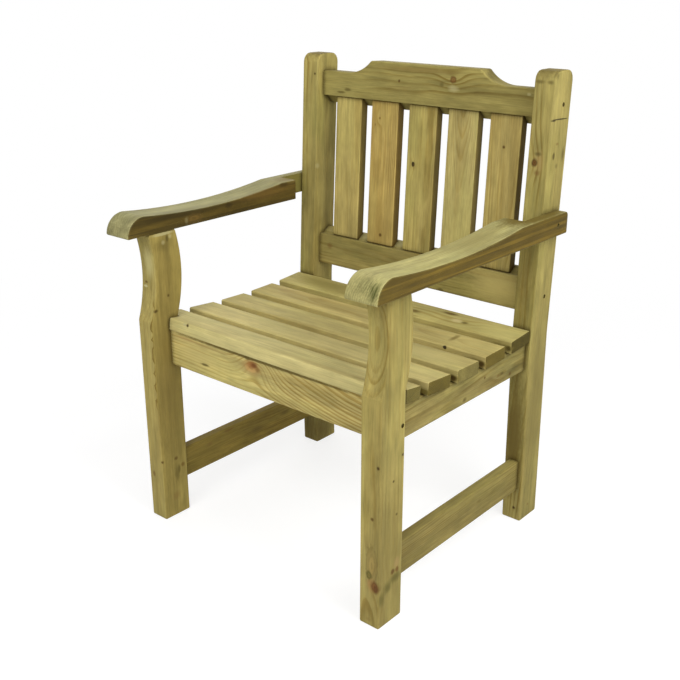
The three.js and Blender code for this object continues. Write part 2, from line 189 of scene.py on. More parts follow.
# How rough a spot's edge is, and how far beyond its radii it bends the rings
SPOT_EDGE_SCALE = (90.0, 260.0, 260.0)
SPOT_EDGE_SWING = 0.7
SPOT_EDGE_LEAST = 0.65
SPOT_REACH = (3.6, 1.9, 1.9)


def spot_group():
    """An ellipsoid at one place in a board: a mask inside it, and how far it pushes the rings aside."""
    tree, net, given, out = new_group(
        "wood_spot",
        [("Point", "Vector"), ("Centre", "Vector"), ("Radii", "Vector"), ("Softness", "Float"),
         ("Push", "Float"), ("Seed", "Float")],
        [("Mask", "Float"), ("Push", "Float"), ("Distance", "Float"), ("Bell", "Float")],
    )
    away = net.vector("SUBTRACT", given["Point"], given["Centre"])
    scaled = net.vector("DIVIDE", away, given["Radii"])
    rough = net.noise(given["Point"], SPOT_EDGE_SCALE, given["Seed"])
    wobble = net.math("MULTIPLY_ADD", rough, SPOT_EDGE_SWING, SPOT_EDGE_LEAST)
    distance = net.math("MULTIPLY", net.vector("LENGTH", scaled), wobble)
    inner = net.math("SUBTRACT", 1.0, given["Softness"])
    wide = net.vector("LENGTH", net.vector("DIVIDE", scaled, SPOT_REACH))
    bell = net.math("EXPONENT", net.math("MULTIPLY", net.math("POWER", wide, 2.0), -1.0))
    net.feed(out["Mask"], net.spread(distance, 1.0, inner))
    net.feed(out["Push"], net.math("MULTIPLY", bell, given["Push"]))
    net.feed(out["Distance"], distance)
    net.feed(out["Bell"], bell)
    return tree


# Noise scales in cycles per metre along the grain, across the board and through it
BEND_SCALE = (3.0, 6.0, 6.0)
RIPPLE_SCALE = (14.0, 45.0, 45.0)
FADE_SCALE = (4.0, 13.0, 13.0)
PATCH_SCALE = (5.0, 14.0, 14.0)
WARM_SCALE = (2.0, 26.0, 26.0)
STREAK_SCALE = (2.4, 24.0, 24.0)
CLOUD_SCALE = (16.0, 42.0, 42.0)
THREAD_SCALE = (9.0, 190.0, 190.0)
FIBRE_SCALE = (22.0, 620.0, 620.0)
BAND_SCALE = (1.2, 20.0, 75.0)
PORE_SCALE = (420.0, 420.0, 420.0)

# What sets these noises apart from the board's others
CLOUD_SEED = 20.0
WARM_SEED = 40.0
FADE_SEED = 60.0
BAND_SEED = 80.0

# How far the rings bend and ripple, in metres
RING_BEND = 0.018
RING_RIPPLE = 0.0025

# How unlike the years are, with scales in cycles per year, and the late wood within one year
YEAR_SCALE = (0.23, 1.0, 1.0)
YEAR_SWING = 2.2
YEAR_TONE_SCALE = (0.61, 1.0, 1.0)
LATE_WOOD = ((0.0, 0.3), (0.1, 0.03), (0.5, 0.14), (0.84, 1.0), (0.96, 0.85), (1.0, 0.3))

# Ranges for spread: a value's low and high, and what each of them gives if that isn't 0 and 1
LATE_BY_YEAR = (0.35, 0.65, 0.45, 1.5)
LATE_ON_SIDES = (0.5, 0.9, 1.0, 0.55)
LATE_BY_FADE = (0.38, 0.6, 0.35, 1.15)
BLOTCH_MASK = (0.42, 0.64)
WARM_MASK = (0.5, 0.68, 0.0, 0.4)
SIDE_MASK = (0.72, 0.97)
BAND_MASK = (0.45, 0.58)
END_MASK = (0.3, 0.9)
PORE_MASK = (0.4, 0.7, 0.0, 0.4)
ARRIS_MASK = (0.9, 0.74)
ARRIS_WEAR = (0.4, 0.56, 0.15, 0.75)
STREAK_SHADE = (0.34, 0.66, 0.76, 1.2)
FIBRE_SHADE = (0.34, 0.66, 0.86, 1.12)
THREAD_SHADE = (0.34, 0.66, 0.93, 1.06)
CLOUD_SHADE = (0.34, 0.66, 0.86, 1.11)
FIBRE_ROUGHNESS = (0.3, 0.7, 0.62, 0.8)

# Shades of the sawn end's dark parts and of a worn arris, and how much the rings show on an end
END_DARK = (0.5, 0.47, 0.42, 1.0)
END_RINGS = 0.6
WORN = (1.07, 1.07, 1.06, 1.0)

# Shares of the bump's height
RING_HEIGHT = 0.35
FIBRE_HEIGHT = 0.9
STREAK_HEIGHT = 0.8
PORE_HEIGHT = 1.4


def late_wood(net, given):
    """Late wood from 0 to 1 in rings about the pith, and the number of the year."""
    point, seed = given["Point"], given["Seed"]
    along = net.separate(point)[0]
    drift = net.vector("MULTIPLY", given["Lean"], net.combine(along, along, along))
    axis = net.vector("ADD", given["Pith"], drift)
    across = net.vector("MULTIPLY", net.vector("SUBTRACT", point, axis), (0.0, 1.0, 1.0))
    radius = net.math("ADD", net.vector("LENGTH", across), given["Push"])
    bend = net.noise(point, BEND_SCALE, seed, detail=1.0)
    radius = net.math("MULTIPLY_ADD", bend, RING_BEND, radius)
    ripple = net.noise(point, RIPPLE_SCALE, seed)
    radius = net.math("MULTIPLY_ADD", ripple, RING_RIPPLE, radius)
    years = net.math("DIVIDE", radius, given["Ring"])
    uneven = net.noise(net.combine(years, 0.0, 0.0), YEAR_SCALE, seed, detail=1.0)
    years = net.math("MULTIPLY_ADD", uneven, YEAR_SWING, years)
    return net.ramp(net.math("FRACT", years), LATE_WOOD), net.math("FLOOR", years)


def late_strength(net, given, year, facing_side):
    """How strongly late wood shows: more in some years, less on the sides and in patches."""
    tone = net.noise(net.combine(year, 0.0, 0.0), YEAR_TONE_SCALE, given["Seed"], detail=0.0)
    fade = net.noise(given["Point"], FADE_SCALE, net.math("ADD", given["Seed"], FADE_SEED))
    strength = given["Ring strength"]
    for value, levels in ((tone, LATE_BY_YEAR), (facing_side, LATE_ON_SIDES), (fade, LATE_BY_FADE)):
        strength = net.math("MULTIPLY", strength, net.spread(value, *levels))
    return strength


def side_colour(net, given):
    """Bands of two colours on the board's sides."""
    seed = net.math("ADD", given["Seed"], BAND_SEED)
    bands = net.noise(given["Point"], BAND_SCALE, seed, detail=3.0, roughness=0.6)
    return net.mix(net.spread(bands, *BAND_MASK), given["Side"], given["Stripe"])


def end_colour(net, given, late, pores):
    """Rings and open pores on the sawn ends."""
    dark = net.mix(1.0, given["End"], END_DARK, "MULTIPLY")
    ringed = net.mix(net.math("MULTIPLY", late, END_RINGS), given["End"], dark)
    return net.mix(net.spread(pores, *PORE_MASK), ringed, dark)


def grain_group():
    """Softwood cut from a round trunk: rings about the pith, streaks, fibres and green treatment."""
    tree, net, given, out = new_group(
        "wood_grain",
        [("Point", "Vector"), ("Normal", "Vector"), ("Push", "Float"), ("Seed", "Float"),
         ("Pith", "Vector"), ("Lean", "Vector"), ("Ring", "Float"), ("Ring strength", "Float"),
         ("Pale", "Color"), ("Deep", "Color"), ("Blotch", "Color"), ("Blotch share", "Float"),
         ("End", "Color"), ("End share", "Float"), ("Side", "Color"), ("Side share", "Float"),
         ("Stripe", "Color"), ("Contrast", "Float")],
        [("Color", "Color"), ("Height", "Float"), ("Roughness", "Float")],
    )
    point, seed = given["Point"], given["Seed"]
    normal = net.separate(given["Normal"])
    facing_end, facing_side, facing_front = (net.math("ABSOLUTE", part) for part in normal)

    # Rings
    late, year = late_wood(net, given)
    strength = late_strength(net, given, year, facing_side)
    colour = net.mix(net.math("MULTIPLY", late, strength, clamp=True), given["Pale"], given["Deep"])

    # Patches of green treatment and of warmer wood
    patch = net.noise(point, PATCH_SCALE, seed, detail=3.0, roughness=0.55)
    blotch = net.math("MULTIPLY", net.spread(patch, *BLOTCH_MASK), given["Blotch share"])
    colour = net.mix(blotch, colour, given["Blotch"])
    warm = net.noise(point, WARM_SCALE, net.math("ADD", seed, WARM_SEED))
    colour = net.mix(net.spread(warm, *WARM_MASK), colour, given["Deep"])

    # Sides, whose colour on some boards is painted shade, and sawn ends
    side_mask = net.math("MULTIPLY", net.spread(facing_side, *SIDE_MASK), given["Side share"])
    colour = net.mix(side_mask, colour, side_colour(net, given))
    end_mask = net.math("MULTIPLY", net.spread(facing_end, *END_MASK), given["End share"])
    pores = net.noise(point, PORE_SCALE, seed)
    colour = net.mix(end_mask, colour, end_colour(net, given, late, pores))

    # Arrises worn pale, where the surface faces none of the board's own directions
    cloud = net.noise(point, CLOUD_SCALE, net.math("ADD", seed, CLOUD_SEED), detail=3.0, roughness=0.6)
    flattest = net.math("MAXIMUM", net.math("MAXIMUM", facing_side, facing_end), facing_front)
    arris = net.math("MULTIPLY", net.spread(flattest, *ARRIS_MASK), net.spread(cloud, *ARRIS_WEAR))
    colour = net.mix(arris, colour, net.mix(1.0, given["Pale"], WORN, "MULTIPLY"))

    # Streaks, fibres, threads and clouds over it all
    streak = net.noise(point, STREAK_SCALE, seed, detail=4.0, roughness=0.66)
    thread = net.noise(point, THREAD_SCALE, seed, roughness=0.6)
    fibre = net.noise(point, FIBRE_SCALE, seed, detail=3.0, roughness=0.6)
    shade = net.spread(streak, *STREAK_SHADE, smooth=False)
    for value, levels in ((fibre, FIBRE_SHADE), (thread, THREAD_SHADE), (cloud, CLOUD_SHADE)):
        shade = net.math("MULTIPLY", shade, net.spread(value, *levels, smooth=False))
    shade = net.math("MULTIPLY_ADD", net.math("SUBTRACT", shade, 1.0), given["Contrast"], 1.0)
    colour = net.mix(1.0, colour, net.combine(shade, shade, shade), "MULTIPLY")

    height = net.math("MULTIPLY_ADD", late, RING_HEIGHT, net.math("MULTIPLY", fibre, FIBRE_HEIGHT))
    height = net.math("MULTIPLY_ADD", streak, STREAK_HEIGHT, height)
    height = net.math("MULTIPLY_ADD", net.math("MULTIPLY", pores, end_mask), PORE_HEIGHT, height)
    net.feed(out["Color"], colour)
    net.feed(out["Height"], height)
    net.feed(out["Roughness"], net.spread(fibre, *FIBRE_ROUGHNESS))
    return tree


SPOT = spot_group()
GRAIN = grain_group()

# Colours of marks in the wood and of painted shade, as seen on a screen
KNOT = (88, 62, 28)
RED_KNOT = (106, 74, 36)
PIN = (60, 42, 16)
BROWN_MARK = (122, 98, 50)
DARK_MARK_AND_SHADE = (84, 72, 34)
GREEN_STAIN = (76, 78, 36)
PALE_MARK = (180, 172, 124)
HOLLOW = (40, 30, 14)
OLIVE_SHADE = (122, 108, 58)

# How far a pin's colour spreads from its middle, as a share of its size
PIN_SPREAD = 1.4


def board_axes(grain, face):
    """Rotation from a board's own frame, x along the grain and z out of its face, to the part's frame."""
    x = Vector(grain).normalized()
    z = Vector(face).normalized()
    y = z.cross(x).normalized()
    return Matrix((x, y, z)).transposed()


def front_point(across, depth, height):
    """A point given in millimetres across, back from the front legs' front face and up, in metres."""
    return Vector((across / MM_PER_M, depth / MM_PER_M - FRONT_TO_ORIGIN, height / MM_PER_M))


def knot(at, radii, colour=KNOT, share=0.0, soft=0.0, push=0.0, rings=False, hatch=False):
    """One knot, dot or stain, or a patch of painted light or shade: its place in millimetres across, back and
    up, its reach in millimetres along the grain, across the board and through it, its screen colour, how much
    of that shows and how soft its edge is. It may push the rings aside, by millimetres, have rings of its own,
    or break up into lines."""
    return {"at": at, "radii": radii, "colour": srgb(*colour), "share": share, "soft": soft,
            "push": push, "rings": rings, "hatch": hatch}


def swirl(at, radii, push):
    """A place where the rings bend aside with no mark of its own."""
    return knot(at, radii, push=push)


def pin(across, back, up, size=3.0, colour=PIN):
    """A small dark dot, as deep as it is wide, with its size in millimetres."""
    return knot((across, back, up), (PIN_SPREAD * size,) * 3, colour, share=0.95, soft=0.75)


# The first spot's shift from its board's seed
SPOT_SEED = 7.0

# Lines across a hatched spot
HATCH_SCALE = (7.0, 380.0, 60.0)
HATCH_MASK = (0.4, 0.6, 0.25, 1.0)

# A ringed spot: its pale heart and dark rim, and the waves between them
HEART_MASK = (0.15, 0.95)
HEART_TONE = (1.25, 1.1, 1.0)
RIM_TONE = (0.62, 0.6, 0.55)
WAVES = 16.0
WAVE_MASK = (-0.2, 1.0, 0.0, 0.5)
WAVE_TONE = (0.45, 0.42, 0.4)


def paint_spots(net, colour, point, seed, placed):
    """Lays the spots over the wood's colour, in their order."""
    for spot, made in placed:
        if not spot["share"]:
            continue
        mask = net.math("MULTIPLY", made["Mask"], spot["share"])
        fill = spot["colour"]
        if spot["hatch"]:
            lines = net.noise(point, HATCH_SCALE, seed)
            mask = net.math("MULTIPLY", mask, net.spread(lines, *HATCH_MASK))
        if spot["rings"]:
            heart = net.spread(made["Distance"], *HEART_MASK)
            ground = net.mix(heart, shaded(fill, *HEART_TONE), shaded(fill, *RIM_TONE))
            wave = net.math("SINE", net.math("MULTIPLY", made["Distance"], WAVES))
            fill = net.mix(net.spread(wave, *WAVE_MASK), ground, shaded(fill, *WAVE_TONE))
        colour = net.mix(mask, colour, fill)
    return colour


# A torn arris: its scallops' length and depth and the strip they are in, in metres
SCALLOP_LENGTH = 0.036
SCALLOP_DEPTH = 0.0065
STRIP_WIDTH = 0.0085

# How uneven the scallops are: cycles of noise per metre, and its reach in radians
JITTER_SCALE = (22.0, 22.0, 22.0)
JITTER = 7.0

# Where it shows: on the face only, and between two heights in metres from the board's middle
TORN_FACE = (0.3, 0.8)
TORN_START = (-0.075, -0.03)
TORN_STOP = (0.2, 0.165)

# Its strip and the dark rim along it, a painted shadow at each scallop's edge: depths in metres, where on the
# wave the rim shows, and shares of tone
STRIP_MASK = (0.0, 0.001, 0.0, 0.8)
STRIP_TONE = (0.66, 0.62, 0.44)
SCALLOP_SHADOW_START = (-0.0008, 0.0006)
SCALLOP_SHADOW_STOP = (0.0052, 0.002)
SCALLOP_SHADOW_WAVE = (0.9, 0.4, 0.1, 0.9)
SCALLOP_SHADOW_TONE = (0.42, 0.33, 0.16)


def tear_arris(net, colour, point, normal, pale, seed, half_width, side):
    """Paints a strip torn out in scallops along one edge of a board's face, with a painted shadow at each
    scallop's edge.
    """
    place = net.separate(point)
    jitter = net.noise(point, JITTER_SCALE, seed)
    steady = net.math("MULTIPLY", place[0], math.pi / SCALLOP_LENGTH)
    wave = net.math("ABSOLUTE", net.math("SINE", net.math("MULTIPLY_ADD", jitter, JITTER, steady)))
    inward = net.math("ADD", net.math("MULTIPLY", place[1], side), STRIP_WIDTH - half_width)
    depth = net.math("MULTIPLY_ADD", wave, -SCALLOP_DEPTH, inward)
    stretch = net.math("MULTIPLY", net.spread(place[0], *TORN_START), net.spread(place[0], *TORN_STOP))
    torn = net.math("MULTIPLY", net.spread(net.separate(normal)[2], *TORN_FACE), stretch)
    strip = net.math("MULTIPLY", net.spread(depth, *STRIP_MASK), torn)
    colour = net.mix(strip, colour, shaded(pale, *STRIP_TONE))
    scallop_shadow = net.math("MULTIPLY", net.spread(depth, *SCALLOP_SHADOW_START), net.spread(depth, *SCALLOP_SHADOW_STOP))
    scallop_shadow = net.math("MULTIPLY", scallop_shadow, net.spread(wave, *SCALLOP_SHADOW_WAVE))
    return net.mix(net.math("MULTIPLY", scallop_shadow, torn), colour, shaded(pale, *SCALLOP_SHADOW_TONE))


# Painted shade and grime in the joints: how near their walls are, and how high above the floor it starts, in
# metres
SHADE_AND_GRIME_REACH = 0.012
SHADE_AND_GRIME_RAYS = 4
SHADE_AND_GRIME_MASK = (0.9, 0.54, 0.0, 0.82)
SHADE_AND_GRIME_TONE = (0.14, 0.11, 0.05)
OFF_FLOOR = (0.008, 0.03)


def paint_joint_shade_and_grime(net, colour, pale):
    """Paints shade and grime into the joints between boards, where other surfaces are near, but not at the
    feet where they meet the floor.
    """
    occlusion = net.add("ShaderNodeAmbientOcclusion", samples=SHADE_AND_GRIME_RAYS)
    occlusion.inputs["Distance"].default_value = SHADE_AND_GRIME_REACH
    off_floor = net.spread(net.separate(net.coordinates("Object"))[2], *OFF_FLOOR)
    shade_and_grime = net.math("MULTIPLY", net.spread(occlusion.outputs["AO"], *SHADE_AND_GRIME_MASK), off_floor)
    return net.mix(shade_and_grime, colour, shaded(pale, *SHADE_AND_GRIME_TONE))


# Faces that meet at less than this angle count as one flat face
FLAT_ANGLE = math.radians(0.4)


def join_flat_faces(name):
    """Joins a board's flat faces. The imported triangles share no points, so this only drops a few slivers."""
    flatten = nodes[name].modifiers.new("flat_faces", "DECIMATE")
    flatten.decimate_type = "DISSOLVE"
    flatten.angle_limit = FLAT_ANGLE


def in_board(net, kind, turn, centre=(0.0, 0.0, 0.0)):
    """The part's places or normals, in a board's own frame."""
    mapping = net.add("ShaderNodeMapping", vector_type="TEXTURE")
    net.feed(mapping.inputs["Vector"], net.coordinates(kind))
    mapping.inputs["Location"].default_value = centre
    mapping.inputs["Rotation"].default_value = turn
    return mapping.outputs[0]


# How much paler the wood is than its tone, and its gloss and relief
PALE_LIFT = 1.08
WOOD_SPECULAR = 0.14
WOOD_BUMP = 0.5
WOOD_RELIEF = 0.0006


def wood(name, grain, face, tone, seed, pith=(0.0, -0.05), lean=(0.0, 0.02), ring=0.0035,
         ring_strength=0.6, deep=(0.66, 0.57, 0.42), blotch=(0.76, 0.82, 0.72), blotch_share=0.4,
         end=(0.5, 0.46, 0.34), end_share=0.75, side=(0.55, 0.5, 0.36), side_share=0.0, stripe=1.15,
         contrast=1.0, spots=(), torn_side=None):
    """Gives one node its own board of wood. The directions of its grain and its face set the board's
    own frame, with the pith's place across and through it in metres, and its lean for each metre
    along it. The tone is a screen colour. The colours of late wood, blotches, ends and sides are
    shares of it, and the stripes a share of the sides. The seed tells the board's noise from others'.
    The rings are a width apart in metres. The edge of the face that is torn is torn_side, -1 or 1
    across."""
    pale = shaded(srgb(*tone), PALE_LIFT, PALE_LIFT, PALE_LIFT)
    deep, blotch, end, side = (shaded(pale, *shares) for shares in (deep, blotch, end, side))
    low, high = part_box(name)
    centre = (low + high) / 2
    axes = board_axes(grain, face)
    turn = axes.to_euler("XYZ")
    material, net, shader = new_material("wood_" + name)
    point = in_board(net, "Object", turn, centre)
    normal = in_board(net, "Normal", turn)

    # Spots, which may push the rings aside and make them stronger nearby
    push = 0.0
    near_knot = 0.0
    placed = []
    for i, spot in enumerate(spots):
        at = axes.transposed() @ (front_point(*spot["at"]) - centre)
        made = net.group(SPOT, Point=point, Centre=at, Radii=Vector(spot["radii"]) / MM_PER_M,
                       Softness=spot["soft"], Push=spot["push"] / MM_PER_M, Seed=seed + SPOT_SEED + i)
        placed.append((spot, made))
        if spot["push"]:
            push = net.math("ADD", push, made["Push"])
            near_knot = net.math("MAXIMUM", near_knot, made["Bell"])
    if placed:
        ring_strength = net.math("MULTIPLY", net.math("ADD", near_knot, 1.0), ring_strength)

    board = net.group(
        GRAIN, Point=point, Normal=normal, Push=push, Seed=seed, Pith=(0.0, *pith), Lean=(0.0, *lean),
        Ring=ring, Ring_strength=ring_strength, Pale=pale, Deep=deep, Blotch=blotch,
        Blotch_share=blotch_share, End=end, End_share=end_share, Side=side, Side_share=side_share,
        Stripe=shaded(side, stripe, stripe, stripe), Contrast=contrast)
    colour = paint_spots(net, board["Color"], point, seed, placed)
    if torn_side:
        colour = tear_arris(net, colour, point, normal, pale, seed, (high.x - low.x) / 2, torn_side)
    # Painted shade and grime in the joints, over the wood's colour
    net.feed(shader.inputs["Base Color"], paint_joint_shade_and_grime(net, colour, pale))
    net.feed(shader.inputs["Roughness"], board["Roughness"])
    net.feed(shader.inputs["Normal"], net.bump(board["Height"], WOOD_BUMP, WOOD_RELIEF))
    shader.inputs["Specular IOR Level"].default_value = WOOD_SPECULAR
    dress(name, material)
    join_flat_faces(name)


# Legs and posts
LEGS = dict(ring=0.0062)
POSTS = dict(ring=0.0055)
# The left front leg's inner side is painted darker than its front, as shade
wood("front_leg_left", UP, FRONT, (160, 145, 84), 1.0, pith=(0.05, -0.02), lean=(0.012, 0.0),
     ring_strength=0.35, side=(0.74, 0.71, 0.6), side_share=0.8, torn_side=-1.0, **LEGS, spots=[
         knot((-299, 16, 594), (50, 20, 14), (196, 186, 128), 0.6, 0.9),
         knot((-296, 17, 542), (30, 16, 12), DARK_MARK_AND_SHADE, 0.2, 0.9, hatch=True),
         pin(-280, 47, 518, 3.4),
         knot((-280, 11, 492), (5, 5, 9), PIN, 0.95, 0.7),
         pin(-281, 1, 144, 3.2, KNOT),
         knot((-280, 39, 140), (6, 6, 7), KNOT, 0.8, 0.7),
         knot((-280, 40, 103), (34, 9, 10), (84, 74, 34), 0.6, 0.9),
         knot((-280, 46, 112), (16, 9, 5), (72, 62, 28), 0.6, 0.8),
         knot((-280, 34, 48), (16, 8, 14), (128, 100, 52), 0.45, 0.8),
         knot((-280, 57, 118), (8, 6, 8), RED_KNOT, 0.75, 0.8),
         knot((-311, 0, 107), (11, 7, 9), (108, 80, 42), 0.7, 0.8),
         knot((-313, 16, 540), (3.5, 8, 8), PALE_MARK, 0.95, 0.6, push=3),
         knot((-311, 17, 549), (4, 6, 8), KNOT, 0.8, 0.7),
         # The next three marks are painted shade on the inner side: below the seat, above it, and in a band
         # under the arm
         knot((-280, 36, 330), (330, 8, 60), (120, 102, 50), 0.6, 0.9),
         knot((-280, 50, 590), (110, 8, 60), (122, 104, 52), 0.3, 0.9),
         knot((-280, 40, 628), (20, 8, 42), DARK_MARK_AND_SHADE, 0.35, 0.95),
         knot((-280, 42, 651), (4.5, 8, 36), PALE_MARK, 0.7, 0.6),
         knot((-280, 61, 643), (7, 6, 6), PALE_MARK, 0.5, 0.9),
         knot((-280, 42, 633), (7, 6, 7), PALE_MARK, 0.45, 0.9),
         knot((-280, 53, 640), (11, 6, 5), DARK_MARK_AND_SHADE, 0.8, 0.7, push=3)])
wood("front_leg_right", UP, FRONT, (156, 142, 82), 2.0, pith=(0.0015, 0.008), lean=(0.002, -0.006),
     ring_strength=0.75, **LEGS, spots=[
         pin(325, 39, 299),
         pin(325, 50, 227),
         pin(325, 65, 343),
         pin(320, 0, 339, 3.4),
         pin(308, 0, 232, 3.8, KNOT),
         # The next two marks are painted shade on the lower leg, below the seat
         knot((325, 36, 140), (260, 12, 60), OLIVE_SHADE, 0.55, 0.9),
         knot((306, 0, 120), (200, 40, 12), OLIVE_SHADE, 0.25, 0.9),
         knot((325, 50, 92), (15, 10, 26), (90, 84, 38), 0.8, 0.85),
         knot((325, 27, 80), (17, 10, 18), (90, 84, 38), 0.75, 0.85),
         knot((325, 9, 62), (22, 8, 12), (92, 86, 38), 0.7, 0.85),
         knot((308, 0, 134), (46, 15, 10), (140, 124, 70), 0.5, 0.15, rings=True),
         knot((308, 0, 92), (20, 16, 14), (158, 118, 70), 0.55, 0.8),
         knot((316, 0, 91), (17, 12, 17), RED_KNOT, 0.9, 0.6, push=9, rings=True),
         knot((319, 0, 88), (14, 8, 14), (88, 56, 24), 0.75, 0.7),
         knot((302, 0, 112), (11, 8, 8), (98, 94, 44), 0.8, 0.4, push=3, rings=True),
         knot((325, 54, 122), (18, 8, 14), (168, 138, 90), 0.45, 0.9),
         knot((325, 42, 108), (8, 8, 8), (94, 66, 28), 0.9, 0.6, push=3),
         knot((325, 55, 107), (8, 8, 7), RED_KNOT, 0.8, 0.6, push=2),
         knot((302, 0, 14), (7, 9, 10), BROWN_MARK, 0.5, 0.8)])
wood("rear_post_left", UP_RAKE, FRONT_RAKE, (160, 146, 84), 3.0, pith=(-0.03, -0.03),
     lean=(0.004, 0.002), blotch_share=0.6, ring_strength=0.7, **POSTS, spots=[
         pin(-289, 522, 931, 2.6),
         knot((-280, 518, 721), (9, 6, 9), PALE_MARK, 0.4, 0.7, push=3),
         knot((-300, 515, 690), (60, 22, 20), DARK_MARK_AND_SHADE, 0.22, 0.9),
         # The foot is painted darker, in part as shade under the seat
         knot((-300, 530, 40), (110, 60, 60), (80, 66, 26), 0.75, 0.8)])
wood("rear_post_right", UP_RAKE, FRONT_RAKE, (152, 139, 80), 4.0, pith=(-0.035, -0.03),
     lean=(0.004, 0.004), ring_strength=0.75, **POSTS, spots=[
         knot((306, 515, 802), (32, 15, 12), (168, 140, 86), 0.5, 0.95),
         knot((296, 515, 799), (11, 9, 10), KNOT, 0.95, 0.6, push=6, rings=True),
         knot((302, 516, 817), (6, 11, 8), DARK_MARK_AND_SHADE, 0.75, 0.8),
         knot((303, 515, 780), (8, 9, 8), RED_KNOT, 0.6, 0.8),
         knot((325, 537, 812), (10, 8, 6), DARK_MARK_AND_SHADE, 0.9, 0.6, push=4),
         knot((325, 548, 835), (4, 8, 7), BROWN_MARK, 0.6, 0.6),
         knot((325, 574, 812), (20, 8, 7), DARK_MARK_AND_SHADE, 0.7, 0.8),
         knot((325, 551, 791), (8, 8, 8), DARK_MARK_AND_SHADE, 0.5, 0.9),
         knot((325, 553, 882.5), (1.8, 6, 38), HOLLOW, 0.9, 0.5),
         knot((325, 527, 882), (2.8, 6, 12), HOLLOW, 0.85, 0.7),
         knot((292, 523, 954), (6, 16, 12), DARK_MARK_AND_SHADE, 0.65, 0.9),
         knot((315, 523, 954), (6, 10, 12), DARK_MARK_AND_SHADE, 0.65, 0.9),
         knot((323, 530, 967), (12, 6, 9), DARK_MARK_AND_SHADE, 0.6, 0.9),
         pin(309, 508, 30, 4.0),
         pin(325, 540, 31, 3.0, BROWN_MARK),
         knot((300, 526, 974), (24, 26, 34), DARK_MARK_AND_SHADE, 0.45, 0.85),
         # The next two marks are painted shade low on the post's side and front, under the seat
         knot((325, 540, 290), (260, 10, 60), (122, 110, 60), 0.7, 0.9),
         knot((298, 508, 230), (230, 30, 20), (96, 80, 34), 0.85, 0.7),
         knot((298, 512, 575), (150, 30, 12), (112, 88, 42), 0.7, 0.8)])

# Arms
ARMS = dict(ring=0.0045, ring_strength=0.7, deep=(0.7, 0.68, 0.56), blotch=(0.8, 0.86, 0.86),
            end=(0.86, 0.86, 0.8), end_share=0.7, side_share=0.97, stripe=1.8)
wood("arm_left", BACK, UP, (152, 146, 102), 5.0, pith=(0.05, -0.03), lean=(0.006, 0.0),
     side=(0.152, 0.108, 0.035), **ARMS, spots=[
         knot((-279, 335, 688), (120, 6, 20), (116, 90, 42), 0.5, 0.8),
         knot((-279, 128, 668), (34, 6, 14), (112, 92, 48), 0.4, 0.6, push=7, rings=True),
         knot((-279, 107, 667), (7, 6, 11), PALE_MARK, 0.22, 0.95),
         knot((-279, 228, 678), (16, 6, 9), HOLLOW, 0.5, 0.8),
         knot((-279, 401, 697), (24, 6, 9), HOLLOW, 0.5, 0.8),
         knot((-325, 495, 690), (70, 12, 46), (128, 120, 62), 0.9, 0.35),
         knot((-300, 440, 700), (64, 36, 9), (122, 104, 54), 0.75, 0.8),
         knot((-349, 430, 700), (120, 5, 8), (86, 86, 58), 0.75, 0.8)])
wood("arm_right", BACK, UP, (168, 160, 106), 6.0, pith=(-0.06, -0.028), lean=(0.004, 0.004),
     side=(0.21, 0.15, 0.045), **ARMS, spots=[
         knot((338, -38, 678), (20, 12, 26), GREEN_STAIN, 0.55, 0.9),
         knot((336, -38, 676), (24, 16, 28), GREEN_STAIN, 1.0, 0.8, hatch=True),
         knot((320, -34, 684), (26, 26, 22), GREEN_STAIN, 0.5, 0.9, hatch=True),
         knot((302, -36, 682), (24, 22, 24), GREEN_STAIN, 0.35, 0.9, hatch=True),
         knot((349, 572, 690), (11, 10, 46), DARK_MARK_AND_SHADE, 0.6, 0.8),
         knot((305, 270, 695), (150, 60, 20), (136, 126, 76), 0.8, 0.95),
         knot((314, 496, 708), (140, 58, 38), (94, 78, 24), 0.9, 0.5)])

# Rails and stretchers of the seat frame
wood("front_seat_rail", ACROSS, FRONT, (181, 166, 104), 7.0, pith=(0.085, -0.04), lean=(-0.03, 0.0),
     ring=0.0068, ring_strength=1.2, spots=[
         knot((-200, 47, 400), (110, 34, 8), (184, 168, 106), 0.65, 0.9),
         knot((-232, 47, 432), (50, 8, 8), (176, 144, 92), 0.4, 0.9),
         knot((-40, 47, 419), (40, 23, 8), (176, 138, 84), 0.6, 0.9, rings=True),
         knot((-37, 47, 426), (24, 13, 8), (138, 88, 44), 0.9, 0.9),
         knot((-31, 47, 426), (12, 8, 8), (104, 66, 32), 0.85, 0.8),
         knot((-22, 47, 418), (10, 8, 8), (118, 82, 40), 0.7, 0.9),
         knot((-50, 47, 437), (10, 5, 6), DARK_MARK_AND_SHADE, 0.7, 0.6),
         # Painted shadow along the top edge, under the overhang of the front seat slat
         knot((0, 47, 438), (320, 4, 8), DARK_MARK_AND_SHADE, 0.85, 0.6),
         swirl((-26, 47, 430), (15, 22, 20), 36),
         swirl((270, 47, 400), (55, 60, 60), -45),
         knot((-176, 47, 389), (18, 4, 6), DARK_MARK_AND_SHADE, 0.85, 0.7),
         knot((-178, 47, 428), (40, 6, 8), RED_KNOT, 0.18, 0.8)])
wood("rear_seat_rail", ACROSS, FRONT, (150, 136, 80), 8.0, pith=(-0.05, 0.03))
wood("side_seat_rail_left", BACK, ACROSS, (150, 134, 76), 9.0, pith=(0.03, -0.04))
wood("side_seat_rail_right", BACK, ACROSS, (138, 125, 73), 10.0, pith=(-0.02, -0.045),
     lean=(0.03, 0.02), ring=0.005, ring_strength=0.85, blotch_share=0.6, contrast=1.3, spots=[
         pin(314, 347, 398, 3.2, KNOT),
         knot((314, 412, 387), (9, 4, 6), DARK_MARK_AND_SHADE, 0.7, 0.6, push=5),
         knot((314, 397, 386), (5, 5, 9), RED_KNOT, 0.5, 0.8),
         knot((314, 277, 374), (10, 6, 7), DARK_MARK_AND_SHADE, 0.75, 0.8),
         knot((314, 444, 376), (7, 6, 7), KNOT, 0.8, 0.8)])
